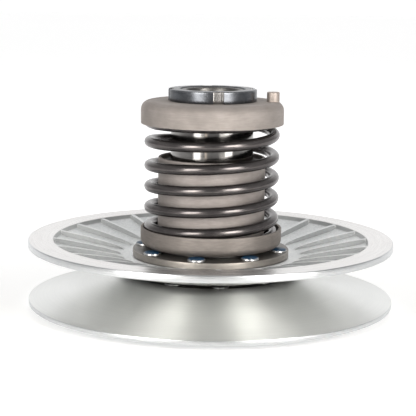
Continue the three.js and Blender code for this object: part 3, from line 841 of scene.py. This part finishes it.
# =====================================================================  spring
def build_spring():
    coil_r, wire = 36.3, 3.0
    start = math.radians(-130.68)
    K = [
        (0, 41.45), (0.45, 44.31), (0.85, 46.86), (1.113, 48.98), (1.356, 52.5), (1.87, 58.55), (2.113, 60.85),
        (2.356, 64.6), (2.87, 70.7), (3.113, 73.15), (3.356, 76.4), (3.87, 82.85), (4.113, 85.2), (4.356, 88.45),
        (4.87, 96.75), (5.113, 97.9), (5.356, 101.2), (5.6, 105.6), (5.75, 107.2), (5.87, 108), (6, 108.3), (6.15, 108.5),
        (6.35, 109.6), (6.68, 114.35),
    ]
    last = len(K) - 1
    turns = K[last][0]
    step = [K[i + 1][0] - K[i][0] for i in range(last)]
    grade = [(K[i + 1][1] - K[i][1]) / step[i] for i in range(last)]
    slope = [grade[0]]
    for i in range(1, last):
        p, q = 2 * step[i] + step[i - 1], step[i] + 2 * step[i - 1]
        slope.append((p + q) / (p / grade[i - 1] + q / grade[i]))
    slope.append(grade[-1])

    def height(t):
        i = 0
        while i < last - 1 and t > K[i + 1][0]:
            i += 1
        h = step[i]
        u = (t - K[i][0]) / h
        v = 1 - u
        return K[i][1] * (1 + 2 * u) * v * v + slope[i] * h * u * v * v + K[i + 1][1] * u * u * (3 - 2 * u) - slope[i + 1] * h * u * u * v

    steps = int(round(turns * 90))
    sides = 28
    verts, uv = [], []
    stations = [(-1, 0.0)] + [(0, 0.55), (0, 0.86)]
    pts = []
    for s in range(steps + 1):
        t = turns * s / steps
        a = start + TAU * t
        pts.append((t, a, height(t)))
    verts = []
    index = []

    def frame_at(s):
        t, a, h = pts[s]
        e = 0.002
        dz = (height(min(turns, t + e)) - height(max(0, t - e))) / (min(turns, t + e) - max(0, t - e))
        tan = Vector((-coil_r * math.sin(a) * TAU, coil_r * math.cos(a) * TAU, dz)).normalized()
        nrm = Vector((math.cos(a), math.sin(a), 0))
        bi = tan.cross(nrm).normalized()
        return Vector((coil_r * math.cos(a), coil_r * math.sin(a), h)), tan, nrm, bi

    def add_ring(s, radius, shift, u):
        c, tan, nrm, bi = frame_at(s)
        c = c + tan * shift
        ids = []
        for k in range(sides):
            g = TAU * k / sides
            p = c + nrm * (radius * math.cos(g)) + bi * (radius * math.sin(g))
            ids.append(len(verts))
            verts.append(tuple(p))
            uv.append((k / sides, u))
        index.append(ids)

    add_ring(0, wire - 0.35, 0.0, 0.0)
    add_ring(0, wire - 0.1, 0.12, 0.0)
    add_ring(0, wire, 0.4, 0.0)
    for s in range(1, steps):
        add_ring(s, wire, 0.0, s / steps * turns)
    add_ring(steps, wire, -0.4, turns)
    add_ring(steps, wire - 0.1, -0.12, turns)
    add_ring(steps, wire - 0.35, 0.0, turns)
    faces = []
    for a, b in zip(index, index[1:]):
        for k in range(sides):
            j = (k + 1) % sides
            faces.append((a[k], a[j], b[j], b[k]))
    for ids, s in ((index[0], 0), (index[-1], steps)):
        c, *_ = frame_at(s)
        m = len(verts)
        verts.append(tuple(c))
        uv.append((0.5, 0.0))
        for k in range(sides):
            faces.append((ids[k], ids[(k + 1) % sides], m))
    o = finish_mesh("coil_spring_wire", verts, faces, [M_SPRING], None, 40, uv)
    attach(o, "fixed")
    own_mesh(o)
    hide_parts("coil_spring")
    return o


build_fixed_sheave()
build_sliding_sheave()
build_shaft()
build_seats()
build_nut()
build_collar()
build_small()
build_spring()

# =====================================================================  camera
pitch, roll = math.radians(9.5), math.radians(0.736)
fwd = Vector((0, math.cos(pitch), -math.sin(pitch)))
up = Vector((0, math.sin(pitch), math.cos(pitch)))
right = Vector((1, 0, 0))
x_axis = right * math.cos(roll) + up * math.sin(roll)
y_axis = up * math.cos(roll) - right * math.sin(roll)
z_axis = -fwd
cam_data = bpy.data.cameras.new("camera")
cam_data.lens = 121.42
cam_data.sensor_width = 36.0
cam_data.clip_start = 0.01
cam_data.clip_end = 50.0
cam = bpy.data.objects.new("camera", cam_data)
bpy.context.scene.collection.objects.link(cam)
cam.matrix_world = Matrix(
    (
        (x_axis.x, y_axis.x, z_axis.x, -1.848 * MM),
        (x_axis.y, y_axis.y, z_axis.y, -810.06 * MM),
        (x_axis.z, y_axis.z, z_axis.z, 193.18 * MM),
        (0, 0, 0, 1),
    )
)
bpy.context.scene.camera = cam

# =====================================================================  floor, light
floor_mat = Tree("studio_floor")
g = floor_mat.noise(0.01, 2)
floor_mat.set(Base_Color=floor_mat.mix(floor_mat.remap(g, 0.3, 0.7, 0, 1), (0.80, 0.80, 0.80), (0.82, 0.82, 0.82)), Roughness=0.75)
# The table is lit from inside as well, as a white light table is.
floor_mat.p.inputs["Emission Color"].default_value = (1, 1, 1, 1)
fx, fy, fz = floor_mat.coords()[:3]
# Painted light: extra glow on the floor in a ring round the lower disc lightens its contact shadow.
shadow_fill_glow = floor_mat.remap(floor_mat.coords()[3], 104.0, 122.0, 0.12, 0.0, "SMOOTHSTEP")
lit = floor_mat.math("ADD", floor_mat.remap(fy, -380.0, -230.0, 0.0, 0.16, "SMOOTHSTEP"), floor_mat.remap(fy, -160.0, 400.0, 0.0, 0.47, "SMOOTHSTEP"))
lit = floor_mat.math("ADD", lit, shadow_fill_glow)
floor_mat.link(lit, floor_mat.p.inputs["Emission Strength"])
me = bpy.data.meshes.new("floor")
s = 6.0
me.from_pydata([(-s, -s, 0), (s, -s, 0), (s, s, 0), (-s, s, 0)], [], [(0, 1, 2, 3)])
me.materials.append(floor_mat.mat)
floor = bpy.data.objects.new("floor", me)
floor.location = (0, 0, -0.0003)
bpy.context.scene.collection.objects.link(floor)

world = bpy.data.worlds.new("studio")
bpy.context.scene.world = world
world.use_nodes = True
wt = world.node_tree
wt.nodes.clear()
wo = wt.nodes.new("ShaderNodeOutputWorld")
bg = wt.nodes.new("ShaderNodeBackground")
wt.links.new(bg.outputs[0], wo.inputs[0])
tc = wt.nodes.new("ShaderNodeTexCoord")
sep = wt.nodes.new("ShaderNodeSeparateXYZ")
wt.links.new(tc.outputs["Generated"], sep.inputs[0])
# White behind and beside the object; darker straight in front of it, where the camera
# stands, and overhead.
def world_ramp(value, a, b, c, d):
    n = wt.nodes.new("ShaderNodeMapRange")
    n.interpolation_type = "SMOOTHSTEP"
    wt.links.new(value, n.inputs[0])
    for i, v in enumerate((a, b, c, d)):
        n.inputs[i + 1].default_value = v
    return n.outputs[0]


def world_math(op, a, b):
    n = wt.nodes.new("ShaderNodeMath")
    n.operation = op
    for i, v in enumerate((a, b)):
        if isinstance(v, float):
            n.inputs[i].default_value = v
        else:
            wt.links.new(v, n.inputs[i])
    return n.outputs[0]


FRONT, SIDE, BACK, OVER = 0.25, 0.45, 1.05, 0.60
around_y = world_math("ADD", world_ramp(sep.outputs[1], -0.90, -0.72, FRONT, SIDE), world_ramp(sep.outputs[1], 0.5, 0.9, 0.0, BACK - SIDE))
over = world_ramp(sep.outputs[2], 0.45, 0.85, 1.0, OVER)
wt.links.new(world_math("MULTIPLY", around_y, over), bg.inputs["Strength"])
bg.inputs["Color"].default_value = (1.0, 1.0, 1.0, 1)


def area(name, centre, target, size, power, color=(1, 1, 1)):
    d = bpy.data.lights.new(name, "AREA")
    d.shape = "RECTANGLE"
    d.size, d.size_y = size
    d.energy = power
    d.color = color
    o = bpy.data.objects.new(name, d)
    bpy.context.scene.collection.objects.link(o)
    c, t = Vector(centre), Vector(target)
    o.location = c
    o.rotation_euler = (t - c).to_track_quat("-Z", "Y").to_euler()
    return o


def softbox(name, azimuth, distance, width, height, bottom, power, color):
    """A tall softbox standing on the table, seen from the object at an angle from the camera."""
    a = math.radians(azimuth)
    at = (distance * math.sin(a), -distance * math.cos(a), bottom + height / 2)
    o = area(name, at, (0, 0, at[2]), (width, height), power, color)
    o.visible_camera = False
    return o


softbox("key_left_low", -41, 0.54, 0.19, 0.06, 0.0, 0.18, (1.0, 0.985, 0.96))
softbox("lamp_low", -16, 0.54, 0.04, 0.06, 0.0, 0.015, (1.0, 0.86, 0.70))
softbox("key_left", -34, 0.54, 0.24, 0.32, 0.061, 2.38, (1.0, 0.975, 0.93))
softbox("key_right_low", 46, 0.54, 0.21, 0.06, 0.0, 0.23, (1.0, 0.985, 0.96))
softbox("key_right", 34, 0.54, 0.24, 0.32, 0.061, 2.78, (1.0, 0.975, 0.93))
area("top", (0, 0.5, 1.3), (0, 0, 0.05), (1.4, 0.8), 4.5)

vs = bpy.context.scene.view_settings
vs.view_transform = "Standard"
vs.look = "None"
